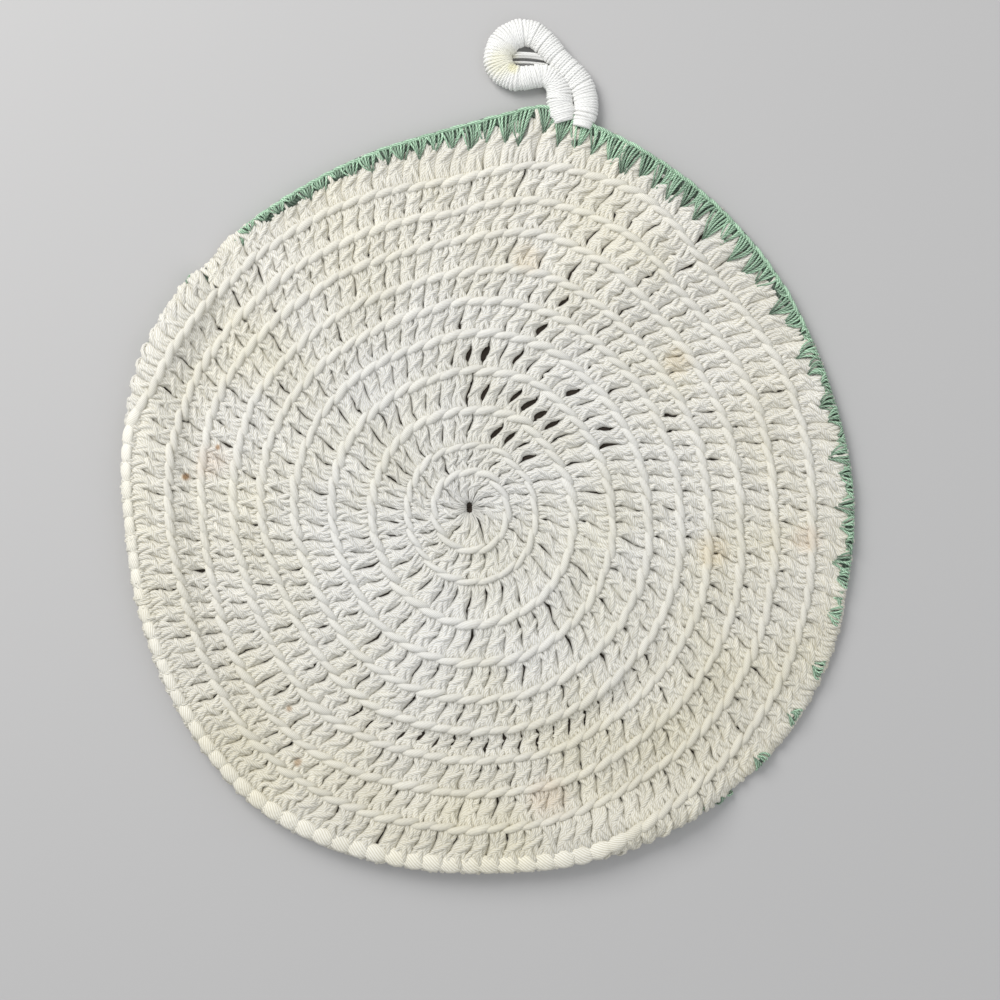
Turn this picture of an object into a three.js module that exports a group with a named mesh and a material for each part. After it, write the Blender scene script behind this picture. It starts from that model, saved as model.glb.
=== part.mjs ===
// A crocheted pot holder, in millimetres, +Z up.
// It lies flat on its underside with its hanging loop towards +Y.
// The origin is the middle of the first round, on the underside.
//
// The cream disc is one cloth of double crochet in eleven rounds. Ten raised chain ridges part the rounds.
// A green edging holds the rim. At the left and the bottom the rim is rolled under and lies on the surface.
import * as THREE from "three";

// Cloth
const clothThick = 2.8;
const ridgeHigh = 1.1;
const ridgeHalfWide = 1.1;
const centreHole = 1.4; // radius of the closing hole, a shallow dip here
const centreDip = 3.5;
const centreDeep = 0.5;
const rollRadius = 1.65; // of the middle of the cloth where it rolls under
const liftReach = 11; // how far in the cloth starts to climb over the part rolled under it
const climbShares = [0, 0.35, 0.65, 1]; // of liftReach, where the underside bends as it climbs

// Edging, measured from the outer edge inwards
const wallWide = 2.0;
const chainCrest = 1.0;
const wrapThick = 0.8; // of the stitches that lie over each face of the cloth
const wrapProud = 0.4; // how far they stand above the cloth's top face
const underWrap = 3.0; // how far they reach in on the underside
const shallowShare = 0.45; // how far in the gaps between two V stitches reach, as a share of the V
const shorterShare = 0.12; // how much shorter each V stitch of a group of three is than the one before
const rimTop = 0.8; // the upper and lower edge of the rim's outer wall, from the middle of the cloth
const rimFoot = -0.6;
const footCrest = 0.7; // how far in the rim's foot meets the underside
const gap = 0.3;
const bendCrowding = 1.6; // how much the two pieces are crowded inside the roll
const rimEnd = wallWide + 0.5; // where the cloth itself ends inside the edging

// Hanging loop
const cordThick = 4.2;
const wrapPitch = 1.25;
const wrapHigh = 0.22;
const cordCrown = 1.05; // how much its back is fuller than an ellipse of its thickness
const cordSides = 10;

const columns = 80; // sections round the disc, one at each V stitch of the edging

// One row for each section that was measured, going round from +X.
// third, sixth, eighth and tenth are the radii of those ridges, and edge is the radius of the outline.
// rolled is the length of cloth that is rolled under there, and green the length of the V stitches.
const sections = [
  { at: 0, third: 25.5, sixth: 52.2, eighth: 67.2, tenth: 85.0, edge: 95.5, rolled: 0, green: 4.5 },
  { at: 20, third: 24.8, sixth: 51.6, eighth: 66.8, tenth: 85.0, edge: 94.5, rolled: 0, green: 4.5 },
  { at: 45, third: 24.2, sixth: 51.5, eighth: 66.5, tenth: 83.5, edge: 96.5, rolled: 0, green: 7.0 },
  { at: 60, third: 25.0, sixth: 52.0, eighth: 69.0, tenth: 88.0, edge: 98.2, rolled: 0, green: 6.6 },
  { at: 72, third: 24.8, sixth: 52.2, eighth: 70.2, tenth: 87.6, edge: 100.0, rolled: 0, green: 7.5 },
  { at: 79, third: 24.5, sixth: 52.0, eighth: 69.8, tenth: 86.5, edge: 101.5, rolled: 0, green: 7.5 },
  { at: 86, third: 24.2, sixth: 51.5, eighth: 67.8, tenth: 83.8, edge: 97.5, rolled: 0, green: 7.0 },
  { at: 94, third: 24.2, sixth: 51.0, eighth: 66.2, tenth: 81.0, edge: 93.8, rolled: 0, green: 6.0 },
  { at: 105, third: 23.8, sixth: 49.8, eighth: 65.2, tenth: 81.2, edge: 91.5, rolled: 0, green: 5.0 },
  { at: 120, third: 24.2, sixth: 50.0, eighth: 65.8, tenth: 81.2, edge: 89.5, rolled: 0, green: 4.0 },
  { at: 132, third: 24.2, sixth: 50.6, eighth: 66.6, tenth: 81.7, edge: 89.5, rolled: 0, green: 3.5 },
  { at: 143, third: 24.0, sixth: 51.3, eighth: 67.4, tenth: 82.0, edge: 90.3, rolled: 5.5, green: 3.5 },
  { at: 155, third: 24.0, sixth: 52.0, eighth: 68.0, tenth: 83.0, edge: 90.0, rolled: 6.5, green: 3.5 },
  { at: 170, third: 24.2, sixth: 52.0, eighth: 67.2, tenth: 83.6, edge: 87.6, rolled: 9.0, green: 3.5 },
  { at: 185, third: 24.2, sixth: 51.5, eighth: 66.2, tenth: 82.2, edge: 85.6, rolled: 10.0, green: 3.5 },
  { at: 200, third: 24.5, sixth: 50.7, eighth: 66.8, tenth: 81.8, edge: 86.5, rolled: 9.0, green: 3.5 },
  { at: 215, third: 25.3, sixth: 51.0, eighth: 69.3, tenth: 83.8, edge: 88.5, rolled: 9.0, green: 3.5 },
  { at: 235, third: 26.8, sixth: 54.0, eighth: 71.8, tenth: 87.2, edge: 91.5, rolled: 10.0, green: 3.5 },
  { at: 260, third: 28.5, sixth: 55.1, eighth: 70.7, tenth: 88.2, edge: 90.8, rolled: 11.0, green: 3.5 },
  { at: 275, third: 29.0, sixth: 55.6, eighth: 71.3, tenth: 88.4, edge: 91.0, rolled: 11.0, green: 3.5 },
  { at: 290, third: 29.0, sixth: 56.3, eighth: 71.8, tenth: 88.7, edge: 93.2, rolled: 8.5, green: 3.5 },
  { at: 305, third: 28.7, sixth: 56.0, eighth: 71.2, tenth: 88.8, edge: 95.2, rolled: 5.0, green: 3.5 },
  { at: 318, third: 28.0, sixth: 55.4, eighth: 71.4, tenth: 89.0, edge: 97.0, rolled: 1.5, green: 3.5 },
  { at: 335, third: 27.0, sixth: 54.6, eighth: 70.4, tenth: 88.0, edge: 96.6, rolled: 0, green: 3.5 },
  { at: 348, third: 26.3, sixth: 53.5, eighth: 68.8, tenth: 86.4, edge: 95.8, rolled: 0, green: 4.0 },
];

// The other ridges lie between those, at these shares of the way out.
const firstShare = 0.37; // of the third ridge's radius
const secondShare = 0.635;
const fourthShare = 0.363; // of the way from the third to the sixth
const fifthShare = 0.7;
const seventhShare = 0.47; // of the way from the sixth to the eighth
const ninthShare = 0.475; // of the way from the eighth to the tenth

// Where the cloth stands off the surface (high above 0) or is pressed thinner (high below 0).
const swells = [
  { x: 43, y: 64, reach: 24, high: 3.2 },
  { x: -30, y: 62, reach: 20, high: 0.6 },
  { x: 62, y: -8, reach: 18, high: -0.5 },
];
const trough = { from: 205, to: 352, radiusShare: 1.07, halfWide: 6.5, deep: 0.9 };

// The middle line of the loop's cord, from its right foot round the eye and back to its left foot.
const cordRoute = [
  { x: 28.6, y: 96.6, wide: 5.2 },
  { x: 29.5, y: 99.0, wide: 5.3 },
  { x: 29.1, y: 102.0, wide: 5.8 },
  { x: 27.9, y: 105.2, wide: 6.0 },
  { x: 25.6, y: 108.4, wide: 5.4 },
  { x: 22.6, y: 112.6, wide: 5.2 },
  { x: 19.6, y: 116.2, wide: 5.8 },
  { x: 16.0, y: 118.7, wide: 6.7 },
  { x: 12.2, y: 118.6, wide: 6.8 },
  { x: 8.9, y: 116.3, wide: 7.0 },
  { x: 7.0, y: 112.7, wide: 7.0 },
  { x: 7.8, y: 108.8, wide: 7.0 },
  { x: 11.0, y: 106.4, wide: 6.4 },
  { x: 15.0, y: 106.6, wide: 6.0 },
  { x: 18.6, y: 107.7, wide: 5.2 },
  { x: 21.5, y: 106.2, wide: 4.2 },
  { x: 23.3, y: 103.4, wide: 4.4 },
  { x: 24.1, y: 100.9, wide: 4.6 },
  { x: 23.3, y: 98.7, wide: 4.6 },
];

const cream = new THREE.MeshStandardMaterial({ color: 0xe6e2d4, roughness: 0.92, metalness: 0 });
const green = new THREE.MeshStandardMaterial({ color: 0x7fb592, roughness: 0.6, metalness: 0 });
const white = new THREE.MeshStandardMaterial({ color: 0xe9e9e4, roughness: 0.85, metalness: 0 });

const half = clothThick / 2;

function between(low, high, share) {
  return low + (high - low) * share;
}

function smoothStep(value) {
  const t = THREE.MathUtils.clamp(value, 0, 1);
  return t * t * (3 - 2 * t);
}

// A smooth curve through one column of the table, at an angle in degrees.
function measured(name, degrees) {
  const count = sections.length;
  let row = count - 1;
  while (row > 0 && sections[row].at > degrees) row -= 1;
  const angle = (i) => sections[(i + count) % count].at + 360 * Math.floor(i / count);
  const value = (i) => sections[(i + count) % count][name];
  const slope = (i) => (value(i + 1) - value(i - 1)) / (angle(i + 1) - angle(i - 1));
  const span = angle(row + 1) - angle(row);
  const t = (degrees - angle(row)) / span;
  const rise = value(row + 1) - value(row);
  const flat = rise === 0; // a level stretch stays level
  const startSlope = flat ? 0 : slope(row) * span;
  const endSlope = flat ? 0 : slope(row + 1) * span;
  const bend = t * (1 - t) * ((1 - t) * (startSlope - rise) - t * (endSlope - rise));
  return value(row) + rise * t + bend;
}

// Everything that one section of the disc needs.
function sectionAt(degrees) {
  const third = measured("third", degrees);
  const sixth = measured("sixth", degrees);
  const eighth = measured("eighth", degrees);
  const tenth = measured("tenth", degrees);
  const rolled = Math.max(0, measured("rolled", degrees));
  const turn = Math.min(Math.PI, rolled / rollRadius);
  const rollStart = measured("edge", degrees) - (rollRadius + half) * Math.sin(Math.min(turn, Math.PI / 2));
  const under = turn > Math.PI / 2 ? half + wrapProud : half; // the face that comes to lie on the surface
  const flatLip = Math.max(0, rolled - Math.PI * rollRadius);
  return {
    degrees,
    ridges: [
      third * firstShare,
      third * secondShare,
      third,
      between(third, sixth, fourthShare),
      between(third, sixth, fifthShare),
      sixth,
      between(sixth, eighth, seventhShare),
      eighth,
      between(eighth, tenth, ninthShare),
      tenth,
    ],
    sixth,
    rollStart,
    length: rollStart + rolled,
    lift: rollRadius * (1 - Math.cos(turn)) + under * Math.abs(Math.cos(turn)) - half,
    liftEnd: rollStart - flatLip - 0.5,
    green: measured("green", degrees),
    underGap: gap + bendCrowding * Math.sin(turn),
  };
}

// How far the cloth is raised or pressed down at a place on the disc.
function swellAt(x, y, section, radius) {
  let high = 0;
  for (const swell of swells) {
    const away = Math.hypot(x - swell.x, y - swell.y) / swell.reach;
    high += swell.high * smoothStep(1 - away);
  }
  const middle = (trough.from + trough.to) / 2;
  const around = Math.abs(section.degrees - middle) / ((trough.to - trough.from) / 2);
  const across = Math.abs(radius - section.sixth * trough.radiusShare) / trough.halfWide;
  return high - trough.deep * smoothStep(1.5 * (1 - around)) * smoothStep(1 - across);
}

// The point at a distance along the cloth from the middle, and a height above the middle of its thickness.
function place(section, along, high) {
  const angle = THREE.MathUtils.degToRad(section.degrees);
  const beyond = Math.max(0, along - section.rollStart);
  const turn = Math.min(Math.PI, beyond / rollRadius);
  const lip = beyond - turn * rollRadius;
  const radius = Math.min(along, section.rollStart) + (rollRadius + high) * Math.sin(turn) - lip;
  const x = radius * Math.cos(angle);
  const y = radius * Math.sin(angle);
  const climb = section.lift * smoothStep(1 + (along - section.liftEnd) / liftReach);
  const drop = rollRadius * (1 - Math.cos(turn));
  const swell = beyond > 0 ? 0 : swellAt(x, y, section, radius);
  const raise = high > 0 ? swell : Math.max(0, swell);
  return new THREE.Vector3(x, y, half + climb - drop + high * Math.cos(turn) + raise);
}

// The cut through the cloth, from the middle of the top out to the rim and back in along the underside.
function clothCut(section) {
  const { ridges, length } = section;
  const cut = [[centreHole, half - centreDeep], [centreDip, half]];
  for (const ridge of ridges) {
    cut.push([ridge - ridgeHalfWide, half], [ridge, half + ridgeHigh], [ridge + ridgeHalfWide, half]);
  }
  const tenth = ridges.at(-1);
  const outerFrom = tenth + ridgeHalfWide;
  const recess = length - section.green - gap;
  const steps = 5;
  for (let i = 1; i <= steps; i += 1) {
    cut.push([between(outerFrom, recess - gap, i / steps), half]);
  }
  const coreTop = half + wrapProud - wrapThick - bendCrowding * gap;
  const coreUnder = -half + wrapThick + gap;
  cut.push([recess, coreTop], [length - rimEnd, coreTop]);
  const underStep = length - underWrap - section.underGap;
  for (const inwards of [rimEnd, underWrap, length - underStep]) {
    cut.push([length - inwards, coreUnder]);
  }
  cut.push([underStep - 0.2, -half]);
  for (let i = steps; i >= 0; i -= 1) {
    cut.push([between(outerFrom, underStep - 1, i / (steps + 1)), -half]);
  }
  const climbEnd = Math.min(section.liftEnd, outerFrom - 1);
  for (const share of climbShares) {
    cut.push([climbEnd - share * liftReach, -half]);
  }
  for (const index of [6, 5, 2]) {
    cut.push([ridges[index], -half]); // under the seventh, the sixth and the third ridge
  }
  return cut;
}

// The cut through the edging, a U round the rim. reach is how far in the V stitch goes at this section.
// The chain along the rim makes its outer side round.
function edgingCut(section, reach) {
  const { length } = section;
  const top = half + wrapProud;
  const dip = 0.2; // between the chain and the V stitches
  const cut = [
    [0, rimFoot],
    [0, rimTop],
    [chainCrest, top],
    [wallWide + dip, top - dip],
    [reach, top],
    [reach, top - wrapThick],
    [wallWide, top - wrapThick],
    [wallWide, -half + wrapThick],
    [underWrap, -half + wrapThick],
    [underWrap, -half],
    [footCrest, -half],
  ];
  return cut.map(([inwards, high]) => [length - inwards, high]);
}

// Joins rings of points, one after the other, into a closed skin.
// round joins the last ring to the first. Otherwise each end is closed by a fan.
function skin(rings, round) {
  const points = rings.flat();
  const count = rings[0].length;
  const faces = [];
  const last = round ? rings.length : rings.length - 1;
  for (let i = 0; i < last; i += 1) {
    const here = i * count;
    const next = ((i + 1) % rings.length) * count;
    for (let j = 0; j < count; j += 1) {
      const k = (j + 1) % count;
      faces.push(here + j, next + j, next + k, here + j, next + k, here + k);
    }
  }
  if (!round) {
    for (const [ring, start] of [[rings[0], 0], [rings.at(-1), count * (rings.length - 1)]]) {
      const middle = ring.reduce((sum, p) => sum.add(p), new THREE.Vector3()).divideScalar(count);
      points.push(middle);
      for (let j = 0; j < count; j += 1) {
        const k = (j + 1) % count;
        const [from, to] = start === 0 ? [j, k] : [k, j];
        faces.push(points.length - 1, start + from, start + to);
      }
    }
  }
  const geometry = new THREE.BufferGeometry().setFromPoints(points);
  geometry.setIndex(faces);
  return facingOut(geometry);
}

// Turns every face round if the skin encloses a negative volume.
function facingOut(geometry) {
  const index = geometry.getIndex().array;
  const corner = (i) => new THREE.Vector3().fromBufferAttribute(geometry.getAttribute("position"), index[i]);
  let volume = 0;
  for (let i = 0; i < index.length; i += 3) {
    volume += corner(i).dot(corner(i + 1).cross(corner(i + 2)));
  }
  if (volume < 0) {
    for (let i = 0; i < index.length; i += 3) {
      [index[i + 1], index[i + 2]] = [index[i + 2], index[i + 1]];
    }
  }
  geometry.computeVertexNormals();
  return geometry;
}

function placeCut(section, cut) {
  return cut.map(([along, high]) => place(section, along, high));
}

function crochetDisc(around) {
  const cuts = around.map((section) => placeCut(section, clothCut(section)));
  const rings = cuts[0].map((_, i) => cuts.map((cut) => cut[i]));
  rings.at(-1).forEach((point) => point.setZ(0)); // the middle of the underside is level
  return skin(rings, false);
}

function greenEdging(around) {
  const rings = [];
  around.forEach((section, i) => {
    const next = around[(i + 1) % around.length];
    const reach = section.green * (1 - shorterShare * (i % 3));
    const shallow = Math.max(wallWide + 0.4, section.green * shallowShare);
    rings.push(placeCut(section, edgingCut(section, reach)));
    const here = placeCut(section, edgingCut(section, shallow));
    const there = placeCut(next, edgingCut(next, shallow));
    rings.push(here.map((point, j) => point.clone().lerp(there[j], 0.5)));
  });
  return skin(rings, true);
}

function hangingLoop() {
  const stops = cordRoute.map(({ x, y }) => new THREE.Vector3(x, y, 0));
  const route = new THREE.CatmullRomCurve3(stops, false, "centripetal");
  const turns = Math.round(route.getLength() / wrapPitch);
  const rings = [];
  for (let i = 0; i <= 2 * turns; i += 1) {
    const share = i / (2 * turns);
    const at = route.getUtoTmapping(share);
    const centre = route.getPoint(at);
    const ahead = route.getTangent(at);
    const row = Math.min(Math.floor(at * (cordRoute.length - 1)), cordRoute.length - 2);
    const wide = between(cordRoute[row].wide, cordRoute[row + 1].wide, at * (cordRoute.length - 1) - row);
    const bump = i % 2 === 1 ? wrapHigh : 0;
    const ring = [];
    for (let j = 0; j < cordSides; j += 1) {
      const angle = (2 * Math.PI * (j + 0.5)) / cordSides;
      const across = (wide / 2 + bump) * Math.cos(angle);
      const up = (cordThick / 2 + bump) * Math.sin(angle) * cordCrown;
      const z = Math.max(0, cordThick / 2 + up);
      ring.push(new THREE.Vector3(centre.x - ahead.y * across, centre.y + ahead.x * across, z));
    }
    rings.push(ring);
  }
  return skin(rings, false);
}

function named(name, geometry, material) {
  const mesh = new THREE.Mesh(geometry, material);
  mesh.name = name;
  return mesh;
}

const around = Array.from({ length: columns }, (_, i) => sectionAt((360 * i) / columns));

const potHolder = new THREE.Group();
potHolder.add(named("crochet_disc", crochetDisc(around), cream));
potHolder.add(named("green_edging", greenEdging(around), green));
potHolder.add(named("hanging_loop", hangingLoop(), white));

export default potHolder;
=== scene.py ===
"""The looks of a crocheted pot holder, stitch by stitch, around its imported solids.

Sizes are in millimetres until a mesh is made. A place on the cloth is given by its angle from +X in degrees,
by along, the distance from the middle measured along the cloth, and by high, the height above the middle of
its thickness. The cloth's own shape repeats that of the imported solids.
"""

import bpy
import numpy as np
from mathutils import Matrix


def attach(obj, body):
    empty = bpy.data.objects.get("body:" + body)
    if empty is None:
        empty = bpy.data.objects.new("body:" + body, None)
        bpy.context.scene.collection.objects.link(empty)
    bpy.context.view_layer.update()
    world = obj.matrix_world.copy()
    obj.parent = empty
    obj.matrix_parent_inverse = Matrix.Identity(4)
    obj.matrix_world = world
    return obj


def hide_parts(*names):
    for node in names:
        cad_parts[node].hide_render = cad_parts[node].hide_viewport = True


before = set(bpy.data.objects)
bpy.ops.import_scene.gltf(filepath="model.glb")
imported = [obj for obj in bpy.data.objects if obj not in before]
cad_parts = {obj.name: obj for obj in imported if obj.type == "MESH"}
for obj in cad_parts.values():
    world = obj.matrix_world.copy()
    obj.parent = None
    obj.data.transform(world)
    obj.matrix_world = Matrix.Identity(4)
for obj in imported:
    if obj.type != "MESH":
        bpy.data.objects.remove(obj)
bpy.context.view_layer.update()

METRES = 0.001
TINY = 1e-9
chance = np.random.default_rng(11)

# Cloth. A rolled lip stays UNDER_PROUD off the surface. The cloth climbs onto it over LIFT_REACH, and is
# all the way up LIFT_EARLY before it.
CLOTH_THICK = 2.8
HALF = CLOTH_THICK / 2
ROLL_RADIUS = 1.65
LIFT_REACH, LIFT_EARLY = 11, 0.5
UNDER_PROUD = 0.4

# One row for each section that was measured, going round from +X.
# third, sixth, eighth and tenth are the radii of those ridges, and edge is the radius of the outline.
# rolled is the length of cloth that is rolled under there, and green the length of the V stitches.
COLUMNS = ("at", "third", "sixth", "eighth", "tenth", "edge", "rolled", "green")
SECTIONS = np.array([
    (0, 25.5, 52.2, 67.2, 85.0, 95.5, 0, 4.5),
    (20, 24.8, 51.6, 66.8, 85.0, 94.5, 0, 4.5),
    (45, 24.2, 51.5, 66.5, 83.5, 96.5, 0, 7.6),
    (60, 25.0, 52.0, 69.0, 88.0, 98.2, 0, 7.4),
    (72, 24.8, 52.2, 70.2, 87.6, 100.0, 0, 8.4),
    (79, 24.5, 52.0, 69.8, 86.5, 101.5, 0, 8.6),
    (86, 24.2, 51.5, 67.8, 83.8, 97.5, 0, 7.6),
    (94, 24.2, 51.0, 66.2, 81.0, 93.8, 0, 5.6),
    (105, 23.8, 49.8, 65.2, 81.2, 91.5, 0, 4.2),
    (120, 24.2, 50.0, 65.8, 81.2, 89.5, 0, 3.0),
    (132, 24.2, 50.6, 66.6, 81.7, 89.5, 0, 2.5),
    (143, 24.0, 51.3, 67.4, 82.0, 90.3, 5.5, 3.5),
    (155, 24.0, 52.0, 68.0, 83.0, 90.0, 6.5, 3.5),
    (170, 24.2, 52.0, 67.2, 83.6, 87.6, 9.0, 3.5),
    (185, 24.2, 51.5, 66.2, 82.2, 85.6, 10.0, 3.5),
    (200, 24.5, 50.7, 66.8, 81.8, 86.5, 9.0, 3.5),
    (215, 25.3, 51.0, 69.3, 83.8, 88.5, 9.0, 3.5),
    (235, 26.8, 54.0, 71.8, 87.2, 91.5, 10.0, 3.5),
    (260, 28.5, 55.1, 70.7, 88.2, 90.8, 11.0, 3.5),
    (275, 29.0, 55.6, 71.3, 88.4, 91.0, 11.0, 3.5),
    (290, 29.0, 56.3, 71.8, 88.7, 93.2, 8.5, 3.5),
    (305, 28.7, 56.0, 71.2, 88.8, 95.2, 5.0, 2.0),
    (318, 28.0, 55.4, 71.4, 89.0, 97.0, 1.5, 1.6),
    (335, 27.0, 54.6, 70.4, 88.0, 96.6, 0, 2.8),
    (348, 26.3, 53.5, 68.8, 86.4, 95.8, 0, 4.0),
], float)

# The ridges between those, as shares of the way from one named radius to the next. The centre is at 0.
RIDGES = (
    ("centre", "third", 0.37),
    ("centre", "third", 0.635),
    ("centre", "third", 1.0),
    ("third", "sixth", 0.363),
    ("third", "sixth", 0.7),
    ("third", "sixth", 1.0),
    ("sixth", "eighth", 0.47),
    ("sixth", "eighth", 1.0),
    ("eighth", "tenth", 0.475),
    ("eighth", "tenth", 1.0),
)

# Where the cloth stands off the surface: x, y, reach, high. A shallow trough follows the sixth ridge
# between two angles. TROUGH_AT is its place as a part of that ridge's radius, and TROUGH_STEEP how soon it
# is fully deep.
SWELLS = ((43, 64, 24, 3.2), (-30, 62, 20, 0.6), (62, -8, 18, -0.5))
TROUGH_FROM, TROUGH_TO, TROUGH_AT, TROUGH_HALF_WIDE, TROUGH_DEEP = 205, 352, 1.07, 6.5, 0.9
TROUGH_STEEP = 1.5

# Stitches in each round, from the middle out, and the width of stitch that the strands' own widths are for.
STITCHES = (12, 24, 36, 48, 60, 74, 88, 98, 110, 120, 132)
USUAL_PITCH = 3.7
# How far the stitches of a round differ in place, in stitch widths, in lean and in height, and their tints.
PLACE_UNEVEN, LEAN_UNEVEN, LIFT_UNEVEN = 0.03, 0.25, 0.06
STITCH_TINTS = (0.3, 0.7)
# The closing hole in the middle: half its width, and how much more half its height is.
HOLE_WIDE, HOLE_TALLER = 0.9, 0.7

# Slots between stitches: how far they stand open in each round, in stitch widths, times a random number
# of SLOT_GAMMA's shape and scale, SLOT_MOST at most. They open between two shares of the way outwards.
SLOT_OPEN = (0.0, 0.03, 0.055, 0.065, 0.06, 0.045, 0.035, 0.022, 0.015, 0.01, 0.0)
SLOT_GAMMA = (1.5, 0.7)
SLOT_MOST = 1.8
SLOT_FROM, SLOT_TO, SLOT_FADES = 0.18, 0.78, 0.22
# The few slots that gape, by angle and by distance from the middle.
GAPE = 0.38
GAPING = (
    (35, 21.0), (45, 28.2), (54, 30.0), (61, 30.5), (63, 22.0), (70, 32.5),
    (71, 36.8), (74, 23.2), (74, 39.2), (80, 25.8), (84, 25.8), (81, 38.8),
    (88, 38.0), (67, 48.8), (64, 53.0), (50, 38.2), (24, 54.2), (32, 37.5),
)
# On the first swell the slots close by up to CALM_MOST. CALM_IN is from a ridge in to the middle of its
# stitches.
CALM_IN, CALM_MOST, CALM_NEAR, CALM_FALLS = 4, 0.75, 1.6, 1.4

# Edging: between GREEN_FROM and GREEN_TO it lies on the rim. Elsewhere it is rolled under with the rim, or
# the last round covers it, save for every third V past TUFTS_FROM. What is covered lies HIDDEN_IN further
# in, and HIDDEN_LOW is the part of its height that it loses. It is covered where up to HIDDEN_ROLLED is
# rolled under, and fades out up to twice that.
GREEN_FROM, GREEN_TO, GREEN_FADES = 343, 494, 6
TUFTS_FROM = 306
HIDDEN_IN, HIDDEN_LOW, HIDDEN_ROLLED = 1.3, 1.0, 3
# One V stands in each slot of the last round. By threes they get shorter, and one in three is stunted from
# V_FEW_FROM to V_FEW_TO. The strands of a V fan out over V_FANS stitch widths to either side.
V_SHORTER = 0.1
V_FEW_FROM, V_FEW_TO, V_STUNTED = 300, 398, 0.45
V_STRANDS, V_FANS, V_POINTS = 6, 0.48, 12
# How far the Vs differ: in angle, length and lean. Then how far their strands do: in place, height and
# length.
V_ANGLE_UNEVEN, V_LENGTH_UNEVEN, V_LEAN_UNEVEN = 0.2, 0.25, 0.09
V_STRAND_UNEVEN, V_HIGH_UNEVEN, V_STRAND_LENGTHS = 0.05, 0.10, (0.86, 1.04)
# At the rim the strands lie side by side, and they are fully loose from V_LOOSE_FROM of the length on.
V_LOOSE_FROM = 0.3
# A strand's tint, and how much darker it gets towards the point of its V.
V_TINTS = (-1.6, 1.6)
V_SHADE, V_SHADE_FROM, V_SHADE_FADES = -2.0, 0.45, 0.55
# The chain lies on the edge between two angles, and past them it sinks by CHAIN_SINKS and turns under.
CHAIN_COUNT, CHAIN_POINTS = 150, 8
CHAIN_TINTS = (-0.4, 1.4)
CHAIN_FROM, CHAIN_TO, CHAIN_SINKS = 22, 134, 1.7
CHAIN_COMES_OVER, CHAIN_GOES_OVER = 8, 12
CHAIN_PLACE_UNEVEN, CHAIN_IN_UNEVEN = 0.06, 0.08

# Rolled rim: half the width of its plump bumps at the left and at the bottom, and where that changes.
RIM_LEFT, RIM_BOTTOM, RIM_WIDENS_AT, RIM_WIDENS_OVER = 1.7, 2.4, 200, 50
# The bumps are full where RIM_ROLLED is rolled under, and fade in as the tenth ridge comes within
# RIM_REACH of the outline. They are shorter by RIM_SHORTER than a ridge's loops, and painted light raises
# their tint, so the rounded rim reads paler.
RIM_ROLLED, RIM_REACH, RIM_FADES = 5, 6.2, 2
RIM_SHORTER, RIM_PAINTED_LIGHT = 0.25, 0.6
# How high and how thick a bump is, where along its loop it ends, and the square of what is left of it
# there.
RIM_HIGH, RIM_THICK, RIM_END, RIM_LEAST = 0.75, 0.85, 0.95, 0.05

# Loop: the middle line of its cord, from its right foot round the eye and back, as x, y, wide.
CORD_ROUTE = [
    (27.8, 94.4, 4.4),
    (28.4, 96.6, 5.8),
    (29.0, 99.0, 6.0),
    (28.8, 102.0, 6.3),
    (27.7, 105.2, 6.4),
    (25.2, 108.3, 6.0),
    (21.8, 112.0, 5.7),
    (18.9, 115.4, 6.1),
    (15.6, 117.8, 6.7),
    (12.0, 117.9, 7.0),
    (8.9, 116.0, 7.2),
    (7.1, 112.7, 7.2),
    (7.8, 109.1, 7.0),
    (11.0, 106.9, 6.4),
    (15.0, 107.0, 6.0),
    (18.7, 107.5, 5.8),
    (21.4, 105.8, 6.0),
    (22.5, 103.2, 6.5),
    (22.4, 100.9, 6.5),
    (22.9, 98.4, 6.6),
    (23.6, 95.8, 5.0),
]
# The loose strands across the eye, each by three points, as x, y, high.
EYE_STRANDS = (
    ((9.6, 113.3, 1.6), (15.0, 113.0, 1.9), (20.6, 112.2, 1.5)),
    ((9.4, 112.7, 1.9), (15.0, 112.5, 2.3), (21.0, 111.8, 1.8)),
    ((9.6, 112.2, 1.5), (15.0, 112.1, 2.0), (20.8, 111.2, 1.6)),
    ((9.8, 111.0, 1.2), (14.6, 110.9, 1.3), (20.0, 110.4, 1.2)),
)
CORD_THICK, CORD_FINE_POINTS = 4.2, 600
# The feet of the cord climb onto the cloth over FOOT_LONG, by FOOT_CLIMB, and are thinner there.
FOOT_LONG, FOOT_CLIMB, FOOT_THIN = 5, 0.9, 0.72
# The thread wound round it: how wide its turns are, the points of a turn, and how far its middle lies
# inside the cord's side and top.
THREAD_WIDE, THREAD_POINTS = 0.62, 16
THREAD_IN, THREAD_DOWN = 0.25, 0.15
# How far its turns stray sideways, along the cord and upwards.
THREAD_STRAYS, THREAD_STRAYS_ALONG, THREAD_STRAYS_UP = 0.1, 0.16, 0.08
# Its own width as a part of a turn's, with a slow change, its flatness and its tint.
THREAD_FULL, THREAD_SWELLS, THREAD_SWELL_TURNS, THREAD_FLAT, THREAD_TINT = 1.35, 0.12, 5, 0.75, 0.8
# The plain tube inside the thread takes every INSIDE_SKIPS-th point of it.
INSIDE_SKIPS, INSIDE_SIDES, INSIDE_MORE = 8, 12, 0.02
EYE_STRAND_HALF, EYE_STRAND_POINTS = 0.34, 8

# Colour: the pale tone of each yarn and its deep tone, painted shade for the grooves between its plies, and
# the two near-black tones of the inner layer, painted shade for the slots between stitches.
CREAM = ((0.87, 0.863, 0.835), (0.68, 0.655, 0.57))
GREEN = ((0.60, 0.82, 0.62), (0.12, 0.27, 0.14))
WHITE = ((0.94, 0.94, 0.92), (0.78, 0.775, 0.74))
PAINTED_SHADE_TONES = ((0.02, 0.015, 0.012, 1), (0.06, 0.05, 0.04, 1))
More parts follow.
